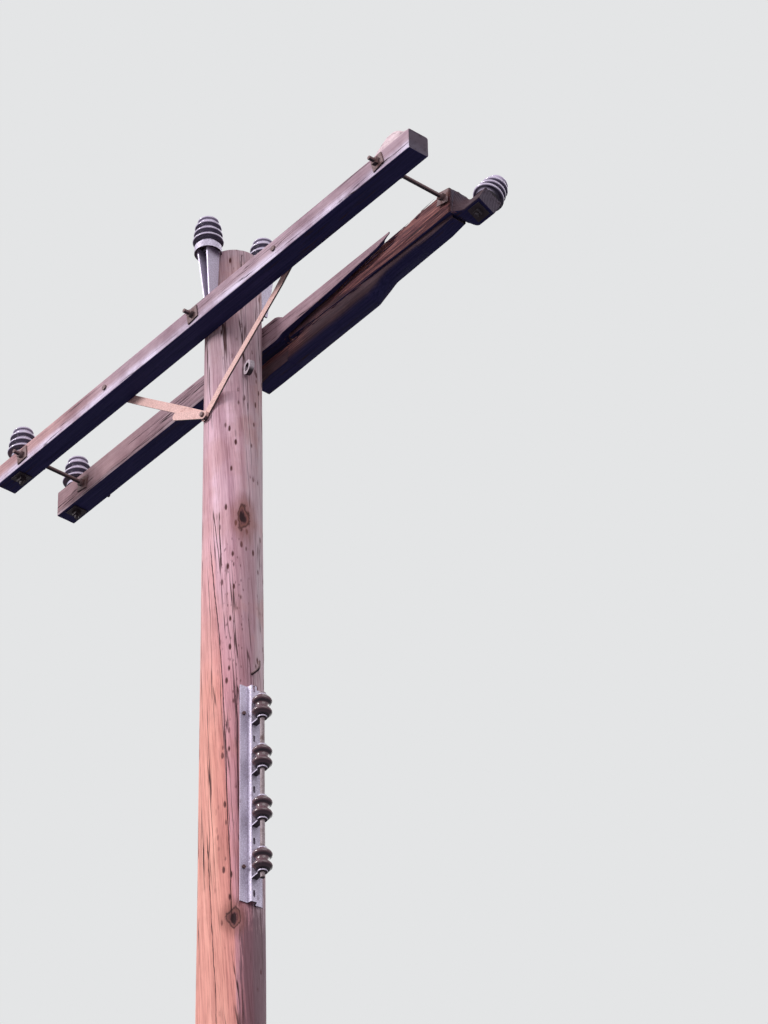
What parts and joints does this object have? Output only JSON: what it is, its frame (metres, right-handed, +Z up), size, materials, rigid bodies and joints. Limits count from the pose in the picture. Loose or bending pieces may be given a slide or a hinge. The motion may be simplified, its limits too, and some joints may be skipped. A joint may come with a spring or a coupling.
{
  "type": "wooden utility pole",
  "caption": "Round wooden utility pole with a double crossarm, one arm split, post insulators, pole-top brackets, flat braces and a rack of spool insulators.",
  "frame": {"origin": "centre of the pole's foot at ground level", "axes": "+Z up the pole, +X along the crossarms towards the split end, -Y towards the near crossarm"},
  "size_m": [2.438, 0.5365, 11.893],
  "materials": {
    "pole_wood": "weathered round timber",
    "near_arm_wood": "weathered sawn timber",
    "far_arm_wood": "weathered sawn timber",
    "split_wood": "torn timber, red inside",
    "porcelain": "dark brown glazed porcelain",
    "rusty_steel": "rusted flat steel",
    "galvanised_steel": "dull galvanised steel"
  },
  "bodies": {
    "pole_frame": {"brace_arm_bolts": "rusty_steel", "brace_lag_screw": "rusty_steel", "brace_stub": "rusty_steel", "centre_bolt": "galvanised_steel", "drive_hook": "galvanised_steel", "far_crossarm": "far_arm_wood", "far_left_insulator": "porcelain", "far_left_stud": "galvanised_steel", "far_top_bracket": "galvanised_steel", "far_top_insulator": "porcelain", "far_top_stud": "galvanised_steel", "guy_eye_bolt": "galvanised_steel", "left_arm_bolt": "galvanised_steel", "left_brace": "rusty_steel", "near_crossarm": "near_arm_wood", "near_left_insulator": "porcelain", "near_left_stud": "galvanised_steel", "near_top_bracket": "galvanised_steel", "near_top_insulator": "porcelain", "near_top_stud": "galvanised_steel", "pole": "pole_wood", "rack_bolts": "galvanised_steel", "rack_channel": "galvanised_steel", "rack_rod": "galvanised_steel", "right_arm_bolt": "galvanised_steel", "right_brace": "rusty_steel", "split_crossarm": "split_wood", "tipped_insulator": "porcelain", "tipped_stud": "galvanised_steel", "top_bracket_screws": "galvanised_steel"},
    "rack_spool_1": {"rack_spool_1": "porcelain"},
    "rack_spool_2": {"rack_spool_2": "porcelain"},
    "rack_spool_3": {"rack_spool_3": "porcelain"},
    "rack_spool_4": {"rack_spool_4": "porcelain"}
  },
  "joints": [
    {"name": "rack_spool_1_turn", "type": "hinge", "parent": "pole_frame", "child": "rack_spool_1", "pos_m": [0.18649, -0.01664, 9.631], "axis": [0, 0, 1], "continuous": true},
    {"name": "rack_spool_2_turn", "type": "hinge", "parent": "pole_frame", "child": "rack_spool_2", "pos_m": [0.18649, -0.01664, 9.4278], "axis": [0, 0, 1], "continuous": true},
    {"name": "rack_spool_3_turn", "type": "hinge", "parent": "pole_frame", "child": "rack_spool_3", "pos_m": [0.18649, -0.01664, 9.2246], "axis": [0, 0, 1], "continuous": true},
    {"name": "rack_spool_4_turn", "type": "hinge", "parent": "pole_frame", "child": "rack_spool_4", "pos_m": [0.18649, -0.01664, 9.0214], "axis": [0, 0, 1], "continuous": true}
  ]
}
